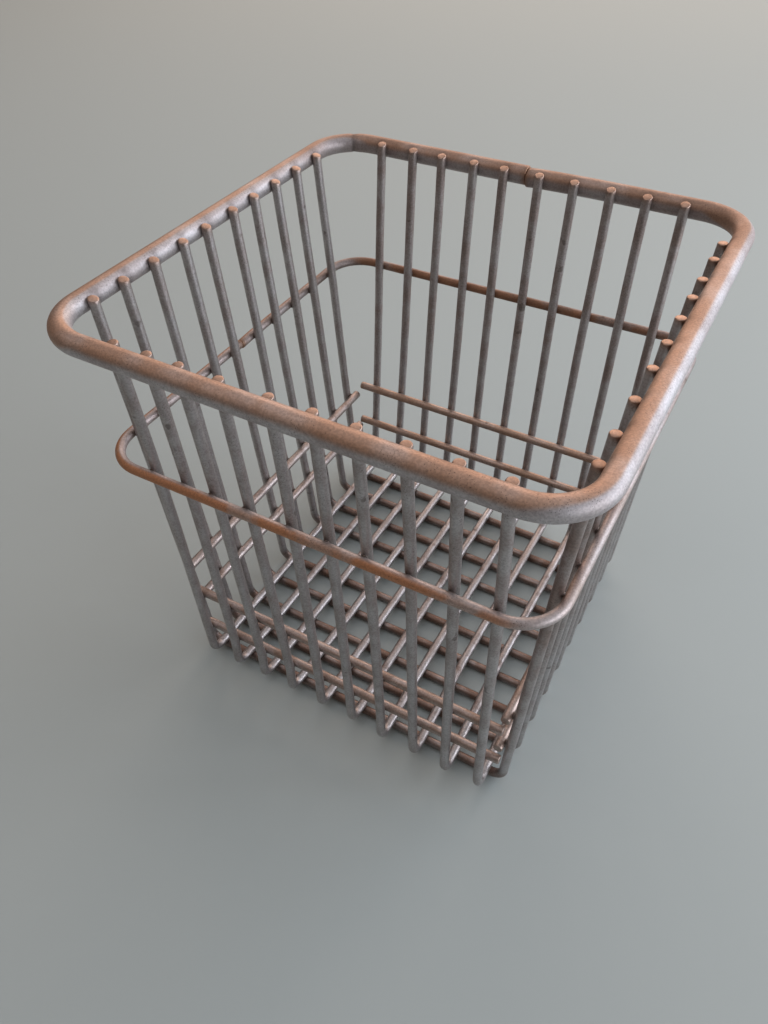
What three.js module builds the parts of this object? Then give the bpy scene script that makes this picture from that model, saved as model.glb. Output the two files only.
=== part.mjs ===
// Utensil basket: a square basket of welded wire that tapers towards its floor.
// Millimetres, +Z up, front wall towards -Y, origin on the table under the middle of the floor.
import * as THREE from 'three';

// Overall sizes
const overallHeight = 152.4;
const rimOutsideWidth = 158;
const floorOutsideWidth = 127.5;

// Rods and wires
const rimDiameter = 6.35;
const hoopDiameter = 3.2;
const wireDiameter = 3.2;
const weldGap = 0.15; // clearance kept at every welded crossing

// Wall and floor wires
const wiresEachWay = 10;
const cornerInset = 6.35; // outermost wire to the line of the next wall, at the table
const floorBendRadius = 4.5; // centre line of the bend from wall to floor
const wireTopDrop = { front: 2.3, back: 0.4, left: 1.4, right: 2.3 }; // cut tops below the rim's top
const cutEndChamfer = 0.3;

// Rim and middle hoop
const rimCornerRadius = 15; // centre line
const hoopHeight = 105;
const hoopCornerRadius = 13; // centre line
const rimSeamOffset = 1; // butt weld from the middle of the back side
const hoopSeamOffset = -2; // butt weld from the middle of the left side
const seamWidth = 0.8;
const seamDepth = 0.25;

// Band wires: centre heights, and how far the side bands sit above the front ones
const bandPassGap = 0.3; // right upper band over the end of the front upper band
const frontBandHeights = { lower: 19, upper: 38.5 };
const rightBandRise = { lower: 5.5, upper: wireDiameter + bandPassGap };
const leftBandRise = { lower: 11, upper: 8.1 };
const backBandHeights = { lower: 31.4, upper: 49.5 };
const frontBandOverhang = { left: 1.8, right: 5.9 }; // cut ends past the centre of the outermost wall wire
const backBandOverhang = 5.2;
const sideBandOverhang = { left: 2.7, right: 3.9 }; // towards the front
const bandCornerGap = 0.7; // side bands stop this far short of the back bands

// Facets around each rod and steps along each half of a bend
const rimSides = 16;
const wireSides = 12;
const rimBendSteps = 4;
const wireBendSteps = 2;

// Radii and the lines that the pieces follow
const rimRadius = rimDiameter / 2;
const hoopRadius = hoopDiameter / 2;
const wireRadius = wireDiameter / 2;
const rimHeight = overallHeight - rimRadius;
const rimHalf = rimOutsideWidth / 2 - rimRadius;
const floorHalf = floorOutsideWidth / 2 - wireRadius;
const outermostWire = floorHalf - cornerInset;
const wirePitch = (2 * outermostWire) / (wiresEachWay - 1);
const lowerLayer = wireRadius;
const upperLayer = lowerLayer + wireDiameter + weldGap;

// The walls lean outwards so that the wires touch the inside of the rim
const rimSeat = rimRadius + wireRadius + weldGap;
const rimSpread = rimHalf - floorHalf;
const wallLean = Math.atan2(rimSpread, rimHeight) - Math.asin(rimSeat / Math.hypot(rimSpread, rimHeight));
const wallAt = (height) => floorHalf + height * Math.tan(wallLean);
const hoopHalf = wallAt(hoopHeight) + (hoopRadius + wireRadius + weldGap) / Math.cos(wallLean);
const bandAt = (height) => wallAt(height) - (wireDiameter + weldGap) / Math.cos(wallLean);

const X = new THREE.Vector3(1, 0, 0);
const Y = new THREE.Vector3(0, 1, 0);
const Z = new THREE.Vector3(0, 0, 1);

const rimSteel = { color: '#93887f', roughness: 0.42, metalness: 0.9 };
const hoopSteel = { color: '#8d837b', roughness: 0.45, metalness: 0.9 };
const wallSteel = { color: '#87868a', roughness: 0.45, metalness: 0.9 };
const bandSteel = { color: '#857163', roughness: 0.5, metalness: 0.85 };

const basket = new THREE.Group();

// A round rod swept along a flat path. Its plane is given by an origin and two axes, and every
// ring is mitred, so that straight runs keep flat, parallel facets that touch the true circle.
function sweptRod({ path, radii, sides, origin, across, along, closed }) {
  const out = new THREE.Vector3().crossVectors(across, along);
  const count = path.length;
  const corner = 1 / Math.cos(Math.PI / sides);
  const positions = [];
  const place = (u, v, w) => {
    const point = origin.clone().addScaledVector(across, u).addScaledVector(along, v);
    point.addScaledVector(out, w);
    positions.push(point.x, point.y, point.z);
  };
  const direction = (from, to) => new THREE.Vector2().subVectors(path[to], path[from]).normalize();
  for (let i = 0; i < count; i += 1) {
    const before = closed || i > 0 ? direction((i + count - 1) % count, i) : direction(0, 1);
    const after = closed || i < count - 1 ? direction(i, (i + 1) % count) : before;
    const tangent = before.clone().add(after).normalize();
    const mitre = 1 / tangent.dot(after);
    for (let j = 0; j < sides; j += 1) {
      const angle = ((j + 0.5) * 2 * Math.PI) / sides;
      const inPlane = radii[i] * corner * mitre * Math.cos(angle);
      const offPlane = radii[i] * corner * Math.sin(angle);
      place(path[i].x - tangent.y * inPlane, path[i].y + tangent.x * inPlane, offPlane);
    }
  }
  const index = [];
  const lastRing = closed ? count : count - 1;
  for (let i = 0; i < lastRing; i += 1) {
    for (let j = 0; j < sides; j += 1) {
      const a = i * sides + j;
      const b = i * sides + ((j + 1) % sides);
      const c = ((i + 1) % count) * sides + ((j + 1) % sides);
      const d = ((i + 1) % count) * sides + j;
      index.push(a, b, c, a, c, d);
    }
  }
  if (!closed) {
    const end = (count - 1) * sides;
    for (let j = 1; j < sides - 1; j += 1) {
      index.push(0, j + 1, j);
      index.push(end, end + j, end + j + 1);
    }
  }
  const geometry = new THREE.BufferGeometry();
  geometry.setAttribute('position', new THREE.Float32BufferAttribute(positions, 3));
  geometry.setIndex(index);
  geometry.computeVertexNormals();
  return geometry;
}

// Points of a flat path, without the doubles where a straight run meets a bend
function pathPoints(path, bendSteps) {
  const points = path.getPoints(bendSteps);
  return points.filter((point, i) => i === 0 || point.distanceTo(points[i - 1]) > 1e-6);
}

// An open rod with a small chamfer on both cut ends
function cutRod(points, plane) {
  const last = points.length - 1;
  const chamferAt = (end, next) => new THREE.Vector2().subVectors(next, end).setLength(cutEndChamfer).add(end);
  const start = chamferAt(points[0], points[1]);
  const end = chamferAt(points[last], points[last - 1]);
  const path = [points[0], start, ...points.slice(1, last), end, points[last]];
  const radii = path.map(() => wireRadius);
  radii[0] -= cutEndChamfer;
  radii[path.length - 1] -= cutEndChamfer;
  return sweptRod({ path, radii, sides: wireSides, closed: false, ...plane });
}

// A closed hoop: a rounded square whose butt weld is a shallow groove on its far side
function hoop(half, cornerRadius, radius, sides, seamOffset, plane) {
  const flat = half - cornerRadius;
  const outline = new THREE.Path();
  outline.moveTo(seamOffset, half);
  outline.lineTo(seamOffset - seamWidth / 2, half);
  outline.lineTo(-flat, half);
  outline.absarc(-flat, flat, cornerRadius, Math.PI / 2, Math.PI);
  outline.absarc(-flat, -flat, cornerRadius, Math.PI, 1.5 * Math.PI);
  outline.absarc(flat, -flat, cornerRadius, 1.5 * Math.PI, 2 * Math.PI);
  outline.absarc(flat, flat, cornerRadius, 0, Math.PI / 2);
  outline.lineTo(seamOffset + seamWidth / 2, half);
  const path = pathPoints(outline, rimBendSteps);
  const radii = path.map((point, i) => (i === 0 ? radius - seamDepth : radius));
  return sweptRod({ path, radii, sides, closed: true, ...plane });
}

// One wall-floor-wall wire: two leaning legs joined by a floor run with a bend at each end
function wallWire(floorHeight, firstDrop, lastDrop, plane) {
  const firstTop = overallHeight - firstDrop;
  const lastTop = overallHeight - lastDrop;
  const turn = Math.PI / 2 - wallLean;
  const bendCentre = wallAt(floorHeight) - floorBendRadius * Math.tan(turn / 2);
  const bendHeight = floorHeight + floorBendRadius;
  const legFoot = bendCentre + floorBendRadius * Math.cos(wallLean);
  const legFootHeight = bendHeight - floorBendRadius * Math.sin(wallLean);
  const outline = new THREE.Path();
  outline.moveTo(-wallAt(firstTop), firstTop);
  outline.lineTo(-legFoot, legFootHeight);
  outline.absarc(-bendCentre, bendHeight, floorBendRadius, Math.PI + wallLean, 1.5 * Math.PI);
  outline.absarc(bendCentre, bendHeight, floorBendRadius, 1.5 * Math.PI, 2 * Math.PI - wallLean);
  outline.lineTo(wallAt(lastTop), lastTop);
  return cutRod(pathPoints(outline, wireBendSteps), plane);
}

function straightWire(from, to, plane) {
  return cutRod([new THREE.Vector2(from, 0), new THREE.Vector2(to, 0)], plane);
}

function addPiece(name, geometry, finish) {
  const piece = new THREE.Mesh(geometry, new THREE.MeshStandardMaterial(finish));
  piece.name = name;
  basket.add(piece);
}

// Rim hoop, with its butt weld on the back side
const rimPlane = { origin: new THREE.Vector3(0, 0, rimHeight), across: X, along: Y };
const rimHoop = hoop(rimHalf, rimCornerRadius, rimRadius, rimSides, rimSeamOffset, rimPlane);
addPiece('rim_hoop', rimHoop, rimSteel);

// Middle hoop, round the outside of the wall wires, with its butt weld on the left side
const hoopPlane = { origin: new THREE.Vector3(0, 0, hoopHeight), across: Y, along: X.clone().negate() };
const middleHoop = hoop(hoopHalf, hoopCornerRadius, hoopRadius, wireSides, hoopSeamOffset, hoopPlane);
addPiece('middle_hoop', middleHoop, hoopSteel);

// Wall wires: front-back ones lie on top in the floor, left-right ones stand on the table
for (let i = 0; i < wiresEachWay; i += 1) {
  const offset = i * wirePitch - outermostWire;
  const number = String(i + 1).padStart(2, '0');
  const frontBackPlane = { origin: new THREE.Vector3(offset, 0, 0), across: Y, along: Z };
  const leftRightPlane = { origin: new THREE.Vector3(0, offset, 0), across: X, along: Z };
  const frontBack = wallWire(upperLayer, wireTopDrop.front, wireTopDrop.back, frontBackPlane);
  const leftRight = wallWire(lowerLayer, wireTopDrop.left, wireTopDrop.right, leftRightPlane);
  addPiece(`front_back_wire_${number}`, frontBack, wallSteel);
  addPiece(`left_right_wire_${number}`, leftRight, wallSteel);
}

// Band wires, inside the wall wires. The side ones pass over the ends of the front ones and stop
// short of the back ones.
const frontBandLeftEnd = -outermostWire - frontBandOverhang.left;
const frontBandRightEnd = outermostWire + frontBandOverhang.right;
const backBandEnd = outermostWire + backBandOverhang;
const leftBandFrontEnd = -outermostWire - sideBandOverhang.left;
const rightBandFrontEnd = -outermostWire - sideBandOverhang.right;
const nearestBackBand = bandAt(Math.min(backBandHeights.lower, backBandHeights.upper));
const sideBandBackEnd = nearestBackBand - wireRadius - bandCornerGap;
for (const level of ['lower', 'upper']) {
  const front = frontBandHeights[level];
  const right = front + rightBandRise[level];
  const left = front + leftBandRise[level];
  const back = backBandHeights[level];
  const frontPlane = { origin: new THREE.Vector3(0, -bandAt(front), front), across: X, along: Y };
  const backPlane = { origin: new THREE.Vector3(0, bandAt(back), back), across: X, along: Y };
  const leftPlane = { origin: new THREE.Vector3(-bandAt(left), 0, left), across: Y, along: X };
  const rightPlane = { origin: new THREE.Vector3(bandAt(right), 0, right), across: Y, along: X };
  addPiece(`front_${level}_band`, straightWire(frontBandLeftEnd, frontBandRightEnd, frontPlane), bandSteel);
  addPiece(`back_${level}_band`, straightWire(-backBandEnd, backBandEnd, backPlane), bandSteel);
  addPiece(`left_${level}_band`, straightWire(leftBandFrontEnd, sideBandBackEnd, leftPlane), bandSteel);
  addPiece(`right_${level}_band`, straightWire(rightBandFrontEnd, sideBandBackEnd, rightPlane), bandSteel);
}

export default basket;
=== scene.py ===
import bpy
import numpy as np
from mathutils import Matrix, Vector


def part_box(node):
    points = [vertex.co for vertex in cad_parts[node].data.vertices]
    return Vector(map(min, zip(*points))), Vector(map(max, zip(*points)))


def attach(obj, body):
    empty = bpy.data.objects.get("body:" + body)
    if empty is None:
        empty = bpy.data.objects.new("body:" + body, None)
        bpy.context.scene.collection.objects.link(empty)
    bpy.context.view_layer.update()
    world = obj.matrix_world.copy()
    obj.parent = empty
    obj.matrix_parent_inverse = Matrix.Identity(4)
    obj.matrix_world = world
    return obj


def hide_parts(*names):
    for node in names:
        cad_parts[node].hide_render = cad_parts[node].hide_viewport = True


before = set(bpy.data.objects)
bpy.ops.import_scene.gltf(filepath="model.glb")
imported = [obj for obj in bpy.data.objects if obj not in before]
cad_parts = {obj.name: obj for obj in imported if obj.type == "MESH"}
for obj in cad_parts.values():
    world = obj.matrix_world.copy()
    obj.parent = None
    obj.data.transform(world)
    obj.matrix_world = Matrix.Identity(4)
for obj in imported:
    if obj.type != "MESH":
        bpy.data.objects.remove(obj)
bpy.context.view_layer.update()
mm = 0.001  # the frame is in metres, the sizes below are in millimetres
dice = np.random.default_rng(26)
print("frame loaded,", len(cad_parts), "CAD nodes")


# Sizes that come from the frame

def boxMm(node):
    # Low and high corner of a CAD node's box
    low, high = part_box(node)
    return np.array(low) / mm, np.array(high) / mm


rimLow, rimHigh = boxMm("rim_hoop")
hoopLow, hoopHigh = boxMm("middle_hoop")
upperLow, upperHigh = boxMm("front_back_wire_01")
lowerLow, lowerHigh = boxMm("left_right_wire_01")
rimRadius = (rimHigh[2] - rimLow[2]) / 2
rimHeight = (rimHigh[2] + rimLow[2]) / 2
rimHalf = rimHigh[0] - rimRadius
hoopRadius = (hoopHigh[2] - hoopLow[2]) / 2
hoopHeight = (hoopHigh[2] + hoopLow[2]) / 2
hoopHalf = hoopHigh[0] - hoopRadius
wireRadius = (upperHigh[0] - upperLow[0]) / 2
upperLayer = upperLow[2] + wireRadius
lowerLayer = lowerLow[2] + wireRadius
wireCount = sum(name.startswith("front_back_wire_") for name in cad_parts)
firstWire = (upperHigh[0] + upperLow[0]) / 2
wirePlaces = np.linspace(firstWire, -firstWire, wireCount)


def cutTops(node, axis):
    # Heights of a bent wire's two cut ends, at the low and the high end of the axis that it runs along
    points = np.array([vertex.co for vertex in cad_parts[node].data.vertices]) / mm
    return [points[points[:, axis] * end > 0, 2].max() for end in (-1, 1)]


wallTop = dict(zip(("front", "back"), cutTops("front_back_wire_01", 1)))
wallTop |= dict(zip(("left", "right"), cutTops("left_right_wire_01", 0)))

# The wall is the straight line that the wire centres follow, from the floor up to the rim
weldGap = 0.15  # what the CAD leaves open at each weld
wallAtRim = rimHalf - rimRadius - wireRadius - weldGap
wallAtHoop = hoopHalf - hoopRadius - wireRadius - weldGap
wallSlope = (wallAtRim - wallAtHoop) / (rimHeight - hoopHeight)


def wallAt(height):
    return wallAtRim + wallSlope * (height - rimHeight)


# Shapes

def bentPath(corners, bendRadius, arcSteps=24):
    # Straight runs joined by arcs that touch both: a corner of turn t is cut back by r tan(t / 2).
    # Gives the points, the heading at each and the length along the path.
    corners = np.asarray(corners, float)
    points = [corners[:1]]
    headings = []
    for before, corner, after in zip(corners[:-2], corners[1:-1], corners[2:]):
        into = np.arctan2(*(corner - before)[::-1])
        out = np.arctan2(*(after - corner)[::-1])
        turn = (out - into + np.pi) % (2 * np.pi) - np.pi
        along = np.array([np.cos(into), np.sin(into)])
        start = corner - along * bendRadius * np.tan(abs(turn) / 2)
        centre = start + np.sign(turn) * bendRadius * np.array([-along[1], along[0]])
        heading = into + turn * np.linspace(0, 1, arcSteps + 1)
        spoke = np.column_stack([np.sin(heading), -np.cos(heading)])
        points.append(centre + np.sign(turn) * bendRadius * spoke)
        headings.append(heading)
    points.append(corners[-1:])
    points = np.vstack(points)
    headings = np.unwrap(np.concatenate([headings[0][:1], *headings, headings[-1][-1:]]))
    length = np.concatenate([[0], np.cumsum(np.hypot(*np.diff(points, axis=0).T))])
    return points, headings, length


def stations(length, step, edge):
    # Even steps along the rod, and closer ones over the rounded edge of each cut end
    close = edge * np.array([0, 0.08, 0.22, 0.42, 0.68, 1.0])
    middle = np.linspace(close[-1], length - close[-1], int(length / step))
    return np.concatenate([close[:-1], middle, length - close[-2::-1]])


def cutRadius(along, length, radius, edge):
    # Radius of a rod with rounded cut ends: r - e + sqrt(e^2 - (e - d)^2) at d from the end
    depth = np.clip(edge - np.minimum(along, length - along), 0, edge)
    return radius - edge + np.sqrt(edge ** 2 - depth ** 2)


def sweepRod(centre, side, lift, radii, tarnishAndLightWay):
    # A round profile carried along a path: centre + r (cos a * side + sin a * lift).
    # Gives the rings and how far each point of them faces the given way, along which tarnish and painted
    # warm light are laid.
    angle = np.linspace(0, 2 * np.pi, radii.shape[1], endpoint=False)
    spoke = np.cos(angle)[:, None] * side[:, None] + np.sin(angle)[:, None] * lift[:, None]
    return centre[:, None] + radii[..., None] * spoke, np.clip(spoke @ tarnishAndLightWay, 0, 1)


cutEnd = {"rustMm": 0.8}


def rodMarks(along, length, facing, heatAndShade, damp):
    # Point attributes of a rod, with one value more for the middle of each end.
    # Bare steel fades from the cut: exp(-d / w) at d from the end.
    sides = facing.shape[1]
    bare = np.exp(-np.minimum(along, length - along) / cutEnd["rustMm"])
    return {
        "weldHeat": np.concatenate([heatAndShade.ravel(), [0, 0]]),
        "bareEnd": np.concatenate([np.repeat(bare, sides), [1, 1]]),
        "facing": np.concatenate([facing.ravel(), [0, 0]]),
        "damp": np.concatenate([np.repeat(damp, sides), [0, 0]]),
    }


def weldLobes(along, sides, places, directions, widthMm, power):
    # The side of a rod that faces each weld: exp(-(s / w)^2) cos^p a, summed over its welds
    angle = np.linspace(0, 2 * np.pi, sides, endpoint=False)
    bell = np.exp(-((along[:, None] - places) / widthMm) ** 2)
    lobe = np.clip(np.cos(angle)[:, None] * directions, 0, 1) ** power
    return bell @ lobe.T


def addPiece(name, points, faces, material, slot, replaced=(), marks=()):
    # A smooth mesh on the one body; marks are the point attributes that its material reads
    mesh = bpy.data.meshes.new(name)
    mesh.from_pydata((points * mm).tolist(), [], faces)
    mesh.polygons.foreach_set("use_smooth", np.ones(len(mesh.polygons), bool))
    for mark, values in dict(marks).items():
        attribute = mesh.attributes.new(mark, "FLOAT", "POINT")
        attribute.data.foreach_set("value", values.astype(np.float32))
    mesh.materials.append(material)
    piece = bpy.data.objects.new(name, mesh)
    bpy.context.scene.collection.objects.link(piece)
    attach(piece, "root")
    if replaced:
        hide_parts(*replaced)
    return piece


def rodMesh(rings):
    # Quads between neighbouring rings, and a fan of triangles on each end
    count, sides = rings.shape[:2]
    index = np.arange(count * sides).reshape(count, sides)
    a = index[:-1]
    b = np.roll(index, -1, 1)[:-1]
    c = np.roll(index, -1, 1)[1:]
    d = index[1:]
    quads = np.stack([a, b, c, d], -1).reshape(-1, 4)
    startPole = count * sides
    endPole = startPole + 1
    startFan = np.column_stack([np.full(sides, startPole), np.roll(index[0], -1), index[0]])
    endFan = np.column_stack([np.full(sides, endPole), index[-1], np.roll(index[-1], -1)])
    points = np.vstack([rings.reshape(-1, 3), rings[0].mean(0), rings[-1].mean(0)])
    return points, quads.tolist() + startFan.tolist() + endFan.tolist()


# Materials

def linear(hexColour):
    srgb = np.array([int(hexColour[i:i + 2], 16) for i in (1, 3, 5)]) / 255
    rgb = np.where(srgb <= 0.04045, srgb / 12.92, ((srgb + 0.055) / 1.055) ** 2.4)
    return (*rgb.tolist(), 1.0)


def addNode(tree, kind, output, settings=(), **inputs):
    # One node with its settings and links. Inputs are values or sockets, by name or by number as in _6,
    # and the output that is asked for comes back.
    node = tree.nodes.new(kind)
    for name, value in dict(settings).items():
        setattr(node, name, value)
    for name, value in inputs.items():
        socket = node.inputs[int(name[1:])] if name[0] == "_" else node.inputs[name.replace("_", " ")]
        if isinstance(value, bpy.types.NodeSocket):
            tree.links.new(value, socket)
        else:
            socket.default_value = value
    return node.outputs[output]


def platedSteel(name, look):
    # Dull zinc-plated steel: a satin grey metal, slightly cloudy where the plating has aged, browner on
    # the sides that face up or out (partly tarnish, partly painted warm light), darker by the welds (heat
    # tint and painted contact shade), dark brown along the floor and where painted shade is laid, with dark
    # pits, a few stains and rusty cut ends.
    # Real pits and grain are finer than 0.3 mm and are drawn coarser, so that they show.
    material = bpy.data.materials.new(name)
    material.use_nodes = True
    tree = material.node_tree
    smooth = {"interpolation_type": "SMOOTHSTEP"}
    times = {"operation": "MULTIPLY"}
    place = addNode(tree, "ShaderNodeTexCoord", "Object")

    # Patterns by their real size, and what the mesh says of each point
    details = {"cloudMm": 4.0, "rustMm": 5.0, "stainMm": 2.0, "patchMm": 2.0, "grainMm": 4.0}
    noise = {}
    for size, detail in details.items():
        scale = 1 / (look[size] * mm)
        noise[size] = addNode(tree, "ShaderNodeTexNoise", "Fac", Vector=place, Scale=scale, Detail=detail)
    cells = addNode(tree, "ShaderNodeTexVoronoi", "Distance", Vector=place, Scale=1 / (look["pitMm"] * mm))
    mark = {}
    for attribute in ("facing", "damp", "weldHeat", "bareEnd"):
        mark[attribute] = addNode(tree, "ShaderNodeAttribute", "Fac", {"attribute_name": attribute})
    facing = addNode(tree, "ShaderNodeMapRange", "Result", smooth,
                     Value=mark["facing"], From_Min=0.0, From_Max=look["facingFull"])

    # Smooth ramps of a value: where they start and end, and what they then give
    cloud = noise["cloudMm"]
    ramps = {
        "aged": (cloud, 0.36, 0.68, 0.0, 1.0),
        "roughness": (cloud, 0.36, 0.68, look["roughFresh"], look["roughAged"]),
        "brownCloud": (cloud, 0.3, 0.6, 0.7 * look["tarnishAndLightShare"], look["tarnishAndLightShare"]),
        "dampAndShadeCloud": (cloud, 0.3, 0.65, 0.6, 1.0),
        # Rust leans to the sides that face the painted warm light.
        "rustOnLitSide": (facing, 0.0, 0.8, look["rustBelow"], 1.0),
        "rustPatch": (noise["rustMm"], look["rustFrom"], look["rustFrom"] + 0.12, 0.0, look["rusting"]),
        "stained": (noise["stainMm"], 0.69, 0.76, 0.0, look["stainDark"]),
        "pit": (cells, 0.3, 0.1, 0.0, 1.0),
        "pitPatch": (noise["patchMm"], 0.44, 0.6, 0.0, 1.0),
        "grained": (noise["grainMm"], 0.64, 0.36, 0.0, look["grainDark"]),
    }
    ramp = {}
    for part, (value, low, high, start, end) in ramps.items():
        ramp[part] = addNode(tree, "ShaderNodeMapRange", "Result", smooth, Value=value,
                             From_Min=low, From_Max=high, To_Min=start, To_Max=end)

    # Shares of the marks that two values make together
    products = {
        "tarnishedAndLit": (facing, ramp["brownCloud"]),
        "rusted": (ramp["rustOnLitSide"], ramp["rustPatch"]),
        "dampedAndShaded": (mark["damp"], ramp["dampAndShadeCloud"]),
        "scorchedAndShaded": (mark["weldHeat"], look["weldTintAndShade"]),
        "bare": (mark["bareEnd"], look["bareTint"]),
        "pitted": (ramp["pit"], ramp["pitPatch"]),
    }
    share = {}
    for part, (first, second) in products.items():
        share[part] = addNode(tree, "ShaderNodeMath", "Value", times, _0=first, _1=second)
    pitDark = addNode(tree, "ShaderNodeMath", "Value", times, _0=share["pitted"], _1=look["pitDark"])

    # Each colour lies over the ones before it
    layers = (
        (ramp["aged"], "aged"), (share["tarnishedAndLit"], "tarnishAndWarmLight"), (share["rusted"], "rust"),
        (share["dampedAndShaded"], "dampAndShadeBrown"), (share["scorchedAndShaded"], "scorchedAndShaded"), (ramp["stained"], "stain"),
        (share["bare"], "bare"), (pitDark, "pit"), (ramp["grained"], "pit"),
    )
    colour = linear(look["fresh"])
    for amount, tint in layers:
        colour = addNode(tree, "ShaderNodeMix", 2, {"data_type": "RGBA"},
                         Factor=amount, _6=colour, _7=linear(look[tint]))
    metal = addNode(tree, "ShaderNodeMapRange", "Result", smooth, Value=share["rusted"],
                    To_Min=look["metallic"], To_Max=look["rustMetallic"])
    height = addNode(tree, "ShaderNodeMath", "Value", {"operation": "SUBTRACT"},
                     _0=noise["grainMm"], _1=share["pitted"])
    bump = addNode(tree, "ShaderNodeBump", "Normal", Height=height, Strength=look["bump"],
                   Distance=look["bumpMm"] * mm)
    finish = {"Base Color": colour, "Metallic": metal, "Roughness": ramp["roughness"], "Normal": bump}
    for socket, value in finish.items():
        tree.links.new(value, tree.nodes["Principled BSDF"].inputs[socket])
    return material


# Colours, sizes of the patterns and how much of each mark shows
# On sides that face up the tarnish colour is partly tarnish and partly painted warm light.
wireLook = {
    # The damp brown colour is dark brown laid mostly as painted shade, and along the floor on the lower
    # layer.
    "fresh": "#c1bdbd", "aged": "#b1aaa8", "tarnishAndWarmLight": "#a68f83", "rust": "#684735", "dampAndShadeBrown": "#84695b",
    "scorchedAndShaded": "#5b4c44", "stain": "#473a31", "bare": "#b2886c", "pit": "#3b322e",
    "cloudMm": 8.0, "grainMm": 0.6, "pitMm": 0.55, "patchMm": 6.0, "stainMm": 5.0, "rustMm": 7.0,
    "tarnishAndLightShare": 0.3, "facingFull": 1.0, "rusting": 0.5, "rustFrom": 0.56, "rustBelow": 0.1,
    # The scorched colour by the welds is heat tint with painted contact shade.
    "weldTintAndShade": 0.5, "stainDark": 0.5, "bareTint": 0.75, "pitDark": 0.65, "grainDark": 0.22,
    "roughFresh": 0.4, "roughAged": 0.52, "metallic": 0.95, "rustMetallic": 0.4, "bump": 0.4, "bumpMm": 0.05,
}
# On the rim and hoop the tan faces away from the windows and is mostly painted warm light, only in part
# tarnish.
rimLook = {
    **wireLook,
    "fresh": "#c6c1c2", "aged": "#b9b0af", "tarnishAndWarmLight": "#be967b", "scorchedAndShaded": "#4a3b34", "cloudMm": 13.0,
    "tarnishAndLightShare": 0.85, "facingFull": 0.3, "rusting": 0.12, "weldTintAndShade": 0.55, "stainDark": 0.0,
    "roughFresh": 0.54, "roughAged": 0.62, "metallic": 0.85,
}
hoopLook = {
    **wireLook,
    "fresh": "#bab0ae", "aged": "#aa9d97", "tarnishAndWarmLight": "#c49c84", "rust": "#c08256", "scorchedAndShaded": "#54402f",
    "dampAndShadeBrown": "#6a554a", "cloudMm": 10.0, "rustMm": 14.0,
    "tarnishAndLightShare": 0.7, "facingFull": 0.75, "rusting": 0.85, "rustFrom": 0.39, "weldTintAndShade": 0.75,
    "roughFresh": 0.5, "roughAged": 0.6, "metallic": 0.7,
}
bandLook = {
    **wireLook,
    "fresh": "#c3bab8", "aged": "#b1a5a0", "tarnishAndWarmLight": "#b99d8e", "rust": "#6b4c38", "dampAndShadeBrown": "#b39582",
    "bare": "#ac9a90", "rustFrom": 0.53, "pitDark": 0.6, "metallic": 0.85,
}
weldLook = {**wireLook, "fresh": "#807771", "aged": "#6b5d54", "cloudMm": 2.5}
wireSteel = platedSteel("zincPlatedWire", wireLook)
rimSteel = platedSteel("zincPlatedRimRod", rimLook)
hoopSteel = platedSteel("zincPlatedHoopWire", hoopLook)
bandSteel = platedSteel("tarnishedAndShadedBandWire", bandLook)
weldSteel = platedSteel("oxidisedSpotWeld", weldLook)
print("materials made")


# Wall wires: down one wall, across the floor and up the other wall

wallWire = {
    "sides": 28, "step": 1.1, "bend": 4.5, "edge": 0.5, "swell": 0.2, "swellMm": 1.4, "heatAndShadeMm": 1.8,
    "wave": 0.12, "waveMm": 95.0, "swayFrom": 8.0, "press": 0.4, "pressFrom": 100.0, "slantMm": 1.0,
    "slant": {"front": 0.0, "back": 0.3, "left": 0.3, "right": 0.1},
    "upperDamp": 0.05, "lowerDamp": 0.9, "dampMm": 6.0, "topFrom": 35.0, "topMm": 55.0,
    "topShade": {"front": 0.2, "back": 0.5, "left": 0.2, "right": 0.6},
}
x, y, z = np.eye(3)
bandHeights = {}
for wall in ("front", "back", "left", "right"):
    for level in ("lower", "upper"):
        bandLow, bandHigh = boxMm(f"{wall}_{level}_band")
        bandHeights[wall, level] = (bandLow[2] + bandHigh[2]) / 2
# Each cut top strays along its wall, to the right or to the back
swayAtTop = {
    "front": (3.0, 1.9, -0.3, -0.5, 1.8, 1.7, 1.0, 1.6, 1.8, 1.8),
    "back": (1.5, 2.0, 1.0, 0.9, 0.0, 0.4, 0.2, 0.3, 0.0, -0.4),
    "left": (-2.5, -3.0, -2.6, -1.6, -2.9, -1.5, -2.6, -2.4, -2.5, -1.6),
    "right": (-1.8, -2.7, -0.9, 0.6, 0.9, 1.5, 0.9, -0.3, 0.2, -1.1),
}
# The front feet splay below the lower band: out of the wall, and along it
frontFoot = {
    "out": (0.0, 0.6, 0.3, 0.3, 0.7, 0.9, 2.0, 2.1, 2.7, 2.4), "outFrom": 45.0,
    "along": (0.0, -0.3, -0.9, -0.9, -0.2, 0.6, 0.8, 1.3, 1.2, 0.9), "alongFrom": 20.0,
}
wavePhase = {wall: dice.uniform(0, 2 * np.pi, wireCount) for wall in swayAtTop}


def sideways(wall, number, height):
    # How far a wire strays along its wall: a lean, s sin(pi t / 2), that eases off upwards, and a slow wave
    rise = np.clip((height - wallWire["swayFrom"]) / (wallTop[wall] - wallWire["swayFrom"]), 0, 1)
    wave = wallWire["wave"] * np.sin(2 * np.pi * height / wallWire["waveMm"] + wavePhase[wall][number])
    return swayAtTop[wall][number] * np.sin(np.pi / 2 * rise) + wave * rise


def pressedOut(height):
    # The weld presses the top of each wire into the rim: p (3 t^2 - 2 t^3)
    rise = np.clip((height - wallWire["pressFrom"]) / (rimHeight - wallWire["pressFrom"]), 0, 1)
    return wallWire["press"] * rise ** 2 * (3 - 2 * rise)


def splay(u, height, start):
    # 0 to 1 from start to the front bend, and back to 0 from the floor up to the lower front band
    band = bandHeights["front", "lower"]
    near = np.clip((-u - start) / (wallAt(upperLayer) - start), 0, 1)
    return near * np.clip((band - height) / (band - upperLayer), 0, 1)


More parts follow.
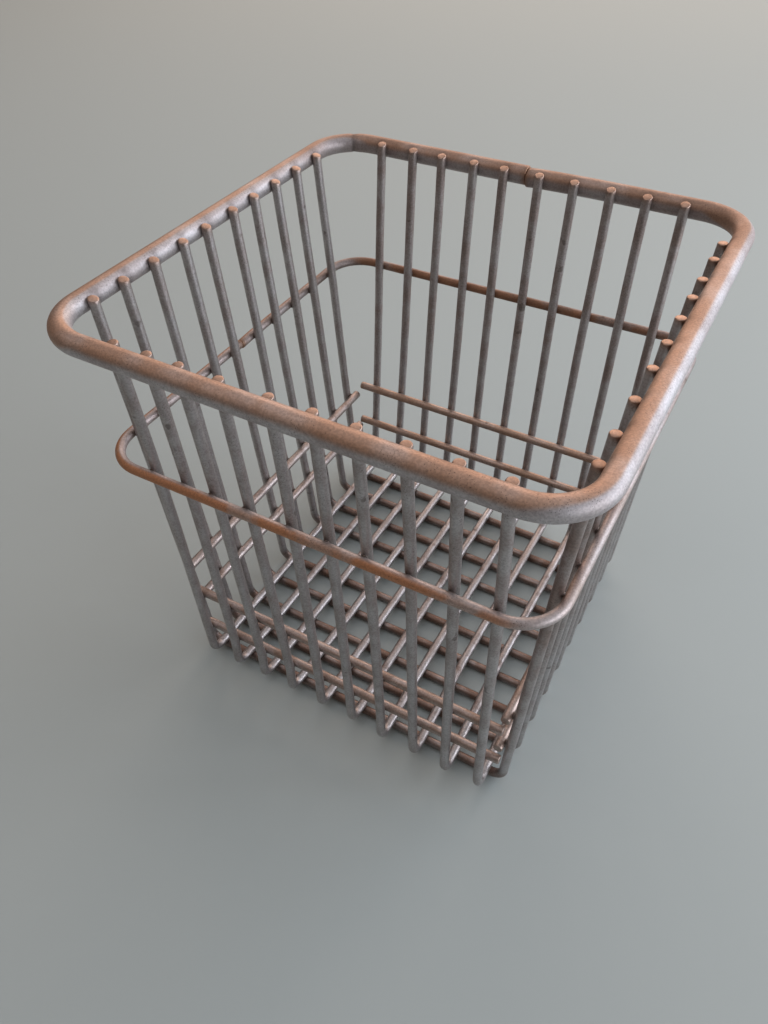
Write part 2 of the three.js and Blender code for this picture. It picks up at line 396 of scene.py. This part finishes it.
def wallWirePiece(node, number, floorHeight, across, out, walls, crossing, floorDamp):
    # A rod bent in its own plane, u along the floor and z up; side points into the basket, and
    # crossing says whether the wires that cross it in the floor are on that side (1) or below it (-1)
    firstTop, lastTop = (wallTop[wall] for wall in walls)
    corners = [(-wallAt(firstTop), firstTop), (-wallAt(floorHeight), floorHeight),
               (wallAt(floorHeight), floorHeight), (wallAt(lastTop), lastTop)]
    points, headings, length = bentPath(corners, wallWire["bend"])
    along = stations(length[-1], wallWire["step"], wallWire["edge"])
    u = np.interp(along, length, points[:, 0])
    height = np.interp(along, length, points[:, 1])
    heading = np.interp(along, length, headings)
    stray = np.where(u < 0, sideways(walls[0], number, height), sideways(walls[1], number, height))
    spread = u + np.sign(u) * pressedOut(height)
    if walls[0] == "front":
        spread -= frontFoot["out"][number] * splay(u, height, frontFoot["outFrom"])
        stray += frontFoot["along"][number] * splay(u, height, frontFoot["alongFrom"])
    centre = spread[:, None] * across + height[:, None] * z + (wirePlaces[number] + stray)[:, None] * out
    side = -np.sin(heading)[:, None] * across + np.cos(heading)[:, None] * z
    lift = np.repeat(np.cross(across, z)[None], len(along), 0)

    # Welds: rim and hoop on the outside, bands on the inside, the crossing wires below or above
    welds = []
    for sign, wall in ((-1, walls[0]), (1, walls[1])):
        welds += [(sign * wallAt(rimHeight), rimHeight, -1), (sign * wallAt(hoopHeight), hoopHeight, -1)]
        for level in ("lower", "upper"):
            bandHeight = bandHeights[wall, level]
            welds.append((sign * wallAt(bandHeight), bandHeight, 1))
    welds += [(place, floorHeight, crossing) for place in wirePlaces]
    welds = np.array(welds)
    nearest = along[np.hypot(u[:, None] - welds[:, 0], height[:, None] - welds[:, 1]).argmin(0)]
    radius = cutRadius(along, length[-1], wireRadius, wallWire["edge"])
    swelling = weldLobes(along, wallWire["sides"], nearest, welds[:, 2], wallWire["swellMm"], power=3)
    # Heat tint with painted contact shade on the side that faces each weld
    heatAndShade = weldLobes(along, wallWire["sides"], nearest, welds[:, 2], wallWire["heatAndShadeMm"], power=1)
    # The wires' tan faces up: partly tarnish, partly painted warm light from above.
    rings, facing = sweepRod(centre, side, lift, radius[:, None] + wallWire["swell"] * swelling, z)

    # The shears slant the cut tops towards the inside: the height drops by k r cos a at the end
    fromEnd = np.minimum(along, length[-1] - along)
    slant = np.where(u < 0, wallWire["slant"][walls[0]], wallWire["slant"][walls[1]])
    slant = slant * radius * np.exp(-fromEnd / wallWire["slantMm"])
    rings[..., 2] -= slant[:, None] * np.cos(np.linspace(0, 2 * np.pi, wallWire["sides"], endpoint=False))

    # Browner along the floor on the lower layer, and painted shade as dark brown higher up the walls, most
    # on the right and back walls
    topShade = np.where(u < 0, wallWire["topShade"][walls[0]], wallWire["topShade"][walls[1]])
    damp = floorDamp * np.clip(1 - (height - floorHeight) / wallWire["dampMm"], 0, 1)
    damp += topShade * np.clip((height - wallWire["topFrom"]) / wallWire["topMm"], 0, 1)
    marks = rodMarks(along, length[-1], facing, np.clip(heatAndShade, 0, 1), damp)
    return addPiece(node + "_drawn", *rodMesh(rings), wireSteel, "wall_wire", [node], marks)


for number in range(wireCount):
    tag = f"{number + 1:02d}"
    wallWirePiece("front_back_wire_" + tag, number, upperLayer, y, x, ("front", "back"),
                  crossing=-1, floorDamp=wallWire["upperDamp"])
    wallWirePiece("left_right_wire_" + tag, number, lowerLayer, x, y, ("left", "right"),
                  crossing=1, floorDamp=wallWire["lowerDamp"])
print("wall wires made")


# Rim and middle hoop: bent rods whose two ends meet in a butt weld

# The tan's way points up and to the left on the rim and front-left on the hoop, away from the windows, so
# the tan there is mostly painted warm light.
rimHoop = {
    "sides": 40, "step": 1.2, "bend": 15.0, "arcSteps": 48, "edge": 0.45, "seam": 1.0, "seamGap": 0.1,
    "stepDown": 0.5, "stepIn": 0.25, "fadeMm": 9.0, "settle": 0.0, "rightRise": 0.0,
    "crease": 67.7, "creaseDeep": 0.25, "creaseMm": 0.9,
    "heatAndShadeMm": 1.7, "backShade": 0.4, "tarnishAndLightWay": (-0.84, 0.0, 0.54), "rightPale": 0.0,
}
middleHoop = {
    "sides": 28, "step": 1.2, "bend": 13.0, "arcSteps": 48, "edge": 0.35, "seam": -2.0, "seamGap": 0.1,
    "stepDown": 0.35, "stepIn": 0.15, "fadeMm": 7.0, "settle": -0.3, "rightRise": 0.5,
    "crease": 0.0, "creaseDeep": 0.0, "creaseMm": 0.9,
    "heatAndShadeMm": 1.7, "backShade": 0.6, "tarnishAndLightWay": (-0.6, -0.75, 0.25), "rightPale": 0.6,
}


def hoopPiece(node, hoop, half, radius, height, across, out, material, slot):
    # A rounded square that starts and ends at its seam, on the side that faces out.
    # Its last end steps down and in at the seam, which fades with exp(-s / w).
    gap = hoop["seamGap"] / 2
    corners = [(hoop["seam"] - gap, half), (-half, half), (-half, -half), (half, -half), (half, half),
               (hoop["seam"] + gap, half)]
    points, headings, length = bentPath(corners, hoop["bend"], hoop["arcSteps"])
    along = stations(length[-1], hoop["step"], hoop["edge"])
    u = np.interp(along, length, points[:, 0])
    v = np.interp(along, length, points[:, 1])
    heading = np.interp(along, length, headings)
    fade = np.exp(-(length[-1] - along) / hoop["fadeMm"])
    side = -np.sin(heading)[:, None] * across + np.cos(heading)[:, None] * out
    lift = np.repeat(z[None], len(along), 0)
    centre = u[:, None] * across + v[:, None] * out + (height - hoop["stepDown"] * fade)[:, None] * z
    centre += hoop["stepIn"] * fade[:, None] * side
    centre[:, 2] += hoop["settle"] + hoop["rightRise"] * centre[:, 0] / half

    # A crease in the first bend: r - d exp(-(s / w)^2)
    crease = np.exp(-((along - hoop["seam"] - hoop["crease"]) / hoop["creaseMm"]) ** 2)
    rodRadius = cutRadius(along, length[-1], radius, hoop["edge"]) - hoop["creaseDeep"] * crease
    radii = np.repeat(rodRadius[:, None], hoop["sides"], 1)

    # The wires touch it on the inside, darkened by each one with heat tint and painted contact shade; the
    # butt weld is heat-tinted all round, and the crease is darkened all round with painted shade
    fromWire = np.abs(np.abs(u[:, None]) - np.abs(wirePlaces)).min(1)
    fromWire = np.minimum(fromWire, np.abs(np.abs(v[:, None]) - np.abs(wirePlaces)).min(1))
    heatAndShade = weldLobes(fromWire, hoop["sides"], np.zeros(1), np.ones(1), hoop["heatAndShadeMm"], power=1)
    fromSeam = np.minimum(along, length[-1] - along)
    ringHeatAndShade = np.exp(-(fromSeam / hoop["heatAndShadeMm"]) ** 2) + crease * (hoop["creaseDeep"] > 0)
    heatAndShade = np.maximum(heatAndShade, np.clip(ringHeatAndShade, 0, 1)[:, None])

    # Tan on the sides that face the given way, partly tarnish and partly painted warm light, less of it
    # towards the right wall, paler there as painted window light, and painted shade as dark brown all over
    # at the back
    damp = hoop["backShade"] * np.clip(centre[:, 1] / half, 0, 1)
    rings, facing = sweepRod(centre, side, lift, radii, np.array(hoop["tarnishAndLightWay"]))
    facing *= 1 - hoop["rightPale"] * np.clip(centre[:, :1] / half, 0, 1)
    marks = rodMarks(along, length[-1], facing, heatAndShade, damp)
    return addPiece(node + "_bent", *rodMesh(rings), material, slot, [node], marks)


hoopPiece("rim_hoop", rimHoop, rimHalf, rimRadius, rimHeight, x, y, rimSteel, "rim_rod")
hoopPiece("middle_hoop", middleHoop, hoopHalf, hoopRadius, hoopHeight, y, -x, hoopSteel, "hoop_wire")
print("rim and hoop made")


# Band wires: straight cut lengths inside the walls

bandWire = {
    "sides": 28, "step": 1.1, "edge": 0.35, "bow": 0.12, "heatAndShadeMm": 1.8,
    # Painted shade as dark brown, by wall: darkest at the back, faint on the left wall that faces the
    # windows
    "damp": {"front": 0.5, "back": 1.0, "left": 0.15, "right": 0.6},
}


def bandPiece(wall, level, along, across):
    # A straight rod with a slight bow up or down: b sin(pi s)
    node = f"{wall}_{level}_band"
    low, high = boxMm(node)
    middle = (low + high) / 2
    length = (high - low) @ along
    station = stations(length, bandWire["step"], bandWire["edge"])
    offset = station - length / 2
    bow = bandWire["bow"] * dice.uniform(-1, 1) * np.sin(np.pi * station / length)
    centre = middle + offset[:, None] * along + bow[:, None] * z
    side = np.repeat(across[None], len(station), 0)
    lift = np.repeat(np.cross(along, across)[None], len(station), 0)
    radius = cutRadius(station, length, wireRadius, bandWire["edge"])
    radii = np.repeat(radius[:, None], bandWire["sides"], 1)
    place = offset + middle @ along
    towardsWall = np.full(wireCount, np.sign(middle @ across))
    # Heat tint with painted contact shade on the side that faces each weld
    heatAndShade = weldLobes(place, bandWire["sides"], wirePlaces, towardsWall, bandWire["heatAndShadeMm"], power=1)
    # The bands' tan faces up: partly tarnish, partly painted warm light from above.
    rings, facing = sweepRod(centre, side, lift, radii, z)
    damp = np.full(len(station), bandWire["damp"][wall])
    marks = rodMarks(station, length, facing, np.clip(heatAndShade, 0, 1), damp)
    return addPiece(node + "_cut", *rodMesh(rings), bandSteel, "band_wire", [node], marks)


for level in ("lower", "upper"):
    bandPiece("front", level, x, y)
    bandPiece("back", level, x, y)
    bandPiece("left", level, y, x)
    bandPiece("right", level, y, x)
print("band wires made")


# Spot welds: a flat lump of squeezed-out metal at every crossing

spotWeld = {"round": 10, "rows": 6, "wide": 1.15, "thick": 0.62, "uneven": 0.15}


def weldPiece(name, centres, normals, slot):
    # Ellipsoids: centre + w cos b (cos a * t1 + sin a * t2) + t sin b * normal, uneven in a
    count = len(centres)
    first = np.cross(normals, np.where(np.abs(normals[:, 2:]) > 0.9, x, z))
    first /= np.linalg.norm(first, axis=1)[:, None]
    second = np.cross(normals, first)
    a = np.linspace(0, 2 * np.pi, spotWeld["round"], endpoint=False)
    b = np.linspace(-np.pi / 2, np.pi / 2, spotWeld["rows"] + 1)[1:-1]
    wide = spotWeld["wide"] * (1 + spotWeld["uneven"] * dice.normal(0, 0.5, (count, 1, 1)))
    lumps = 1 + spotWeld["uneven"] * np.cos(2 * a + dice.uniform(0, 2 * np.pi, (count, 1, 1)))
    ring = wide * lumps * np.cos(b)[:, None]
    flat = (ring * np.cos(a))[..., None] * first[:, None, None]
    flat += (ring * np.sin(a))[..., None] * second[:, None, None]
    tall = spotWeld["thick"] * np.sin(b)[:, None, None] * normals[:, None, None]
    rows = centres[:, None, None] + flat + tall
    poles = centres[:, None] + np.array([-1, 1])[:, None] * spotWeld["thick"] * normals[:, None]
    points = np.concatenate([rows.reshape(count, -1, 3), poles], 1)
    around, levels = spotWeld["round"], len(b)
    index = np.arange(around * levels).reshape(levels, around)
    nextOne = np.roll(index, -1, 1)
    quads = np.stack([index[:-1], nextOne[:-1], nextOne[1:], index[1:]], -1).reshape(-1, 4)
    bottom = np.column_stack([np.full(around, around * levels), nextOne[0], index[0]])
    top = np.column_stack([np.full(around, around * levels + 1), index[-1], nextOne[-1]])
    jump = np.arange(count)[:, None, None] * (around * levels + 2)
    faces = []
    for part in (quads, bottom, top):
        faces += (part + jump).reshape(-1, part.shape[1]).tolist()
    return addPiece(name, points.reshape(-1, 3), faces, weldSteel, slot)


def wallContacts(heights, reach):
    # Points on all four walls at each wall's height, reach outside the wire centres, and the way out
    ways = {"front": (-y, x), "back": (y, x), "left": (-x, y), "right": (x, y)}
    centres = []
    normals = []
    for wall, (way, along) in ways.items():
        height = np.broadcast_to(heights[wall], wireCount)
        stray = np.array([sideways(wall, number, height[number]) for number in range(wireCount)])
        outward = wallAt(height) + pressedOut(height) + reach
        place = wirePlaces + stray
        centres.append(outward[:, None] * way + place[:, None] * along + height[:, None] * z)
        normals.append(np.repeat(way[None], wireCount, 0))
    return np.vstack(centres), np.vstack(normals)


touch = wireRadius + weldGap / 2
weldPiece("rimSpotWelds", *wallContacts(dict.fromkeys(swayAtTop, rimHeight), touch), "rim_rod")
hoopEnds = hoopHeight + middleHoop["settle"] + middleHoop["rightRise"] * np.array([-1, 1])
hoopAlong = np.interp(wirePlaces, [-hoopHalf, hoopHalf], hoopEnds)
hoopLevels = {"front": hoopAlong, "back": hoopAlong, "left": hoopEnds[0], "right": hoopEnds[1]}
weldPiece("hoopSpotWelds", *wallContacts(hoopLevels, touch), "hoop_wire")
for level in ("lower", "upper"):
    bandLevels = {wall: bandHeights[wall, level] for wall in swayAtTop}
    weldPiece(f"{level}BandSpotWelds", *wallContacts(bandLevels, -touch), "band_wire")
gridX, gridY = (places.ravel() for places in np.meshgrid(wirePlaces, wirePlaces))
gridX += np.tile(frontFoot["along"], wireCount) * splay(gridY, upperLayer, frontFoot["alongFrom"])
floorContact = np.column_stack([gridX, gridY, np.full(gridX.size, (upperLayer + lowerLayer) / 2)])
weldPiece("floorSpotWelds", floorContact, np.repeat(z[None], gridX.size, 0), "wall_wire")
print("spot welds made")


# Studio: pale floor, soft lights above and behind, cool windows on the right, the photograph's camera

studio = {
    "floor": "#abb2b0", "floorHalf": 4.0, "floorRough": 0.9, "floorGloss": 0.1,
    "world": "#f4ece6", "worldStrength": 0.08,
}
# Places and sizes of the lights in metres
softLights = {
    "overhead": {"place": (-0.1, 0.05, 1.35), "size": (1.6, 1.6), "colour": "#eef5ff", "watts": 6.4},
    "frontLeft": {"place": (-0.6, -0.6, 1.1), "size": (1.3, 1.3), "colour": "#ffe6d4", "watts": 2.5},
    "warmBack": {"place": (-0.3, 1.4, 0.8), "size": (2.2, 0.9), "colour": "#ffe8da", "watts": 17.5},
    "backWindow": {"place": (1.05, 1.1, 0.7), "size": (1.4, 0.9), "colour": "#e9f1ff", "watts": 9.1},
    "sideWindow": {"place": (1.5, 0.0, 0.36), "size": (1.5, 0.7), "colour": "#f2f6ff", "watts": 14.0},
    "nearWindow": {"place": (0.52, 0.25, 0.25), "size": (0.7, 0.4), "colour": "#e9f3ff", "watts": 1.4},
}
lightAim = Vector((0, 0, 0.08))
# Fitted to the wires in the photograph: millimetres, degrees and pixels
photoCamera = {
    "place": (96.57, -191.43, 263.90), "aim": (-3.71, -19.40, 67.05), "roll": -1.227,
    "focalPixels": 811.4, "pictureHeight": 1024,
}


def addFloor():
    # Matte paint: a soft even grey with almost no gloss
    half = studio["floorHalf"]
    corners = [(-half, -half, 0), (half, -half, 0), (half, half, 0), (-half, half, 0)]
    mesh = bpy.data.meshes.new("floor")
    mesh.from_pydata(corners, [], [(0, 1, 2, 3)])
    paint = bpy.data.materials.new("matteFloorPaint")
    paint.use_nodes = True
    shader = paint.node_tree.nodes["Principled BSDF"]
    shader.inputs["Base Color"].default_value = linear(studio["floor"])
    shader.inputs["Roughness"].default_value = studio["floorRough"]
    shader.inputs["Specular IOR Level"].default_value = studio["floorGloss"]
    mesh.materials.append(paint)
    floor = bpy.data.objects.new("floor", mesh)
    bpy.context.scene.collection.objects.link(floor)


def addLight(name, light):
    lamp = bpy.data.lights.new(name, "AREA")
    lamp.shape = "RECTANGLE"
    lamp.size, lamp.size_y = light["size"]
    lamp.color = linear(light["colour"])[:3]
    lamp.energy = light["watts"]
    holder = bpy.data.objects.new(name, lamp)
    holder.location = light["place"]
    holder.rotation_euler = (lightAim - holder.location).to_track_quat("-Z", "Y").to_euler()
    bpy.context.scene.collection.objects.link(holder)


def addCamera():
    lens = bpy.data.cameras.new("camera")
    lens.sensor_fit = "VERTICAL"
    lens.sensor_height = 36.0
    lens.lens = lens.sensor_height * photoCamera["focalPixels"] / photoCamera["pictureHeight"]
    lens.clip_start = 0.01
    holder = bpy.data.objects.new("camera", lens)
    place = Vector(photoCamera["place"]) * mm
    aim = Vector(photoCamera["aim"]) * mm
    turn = (aim - place).to_track_quat("-Z", "Y").to_matrix().to_4x4()
    roll = Matrix.Rotation(np.radians(photoCamera["roll"]), 4, "Z")
    holder.matrix_world = Matrix.Translation(place) @ turn @ roll
    bpy.context.scene.collection.objects.link(holder)
    bpy.context.scene.camera = holder


world = bpy.data.worlds.new("softRoom")
world.use_nodes = True
background = world.node_tree.nodes["Background"]
background.inputs["Color"].default_value = linear(studio["world"])
background.inputs["Strength"].default_value = studio["worldStrength"]
bpy.context.scene.world = world
bpy.context.scene.view_settings.view_transform = "Standard"
addFloor()
for name, light in softLights.items():
    addLight(name, light)
addCamera()
print("studio set")
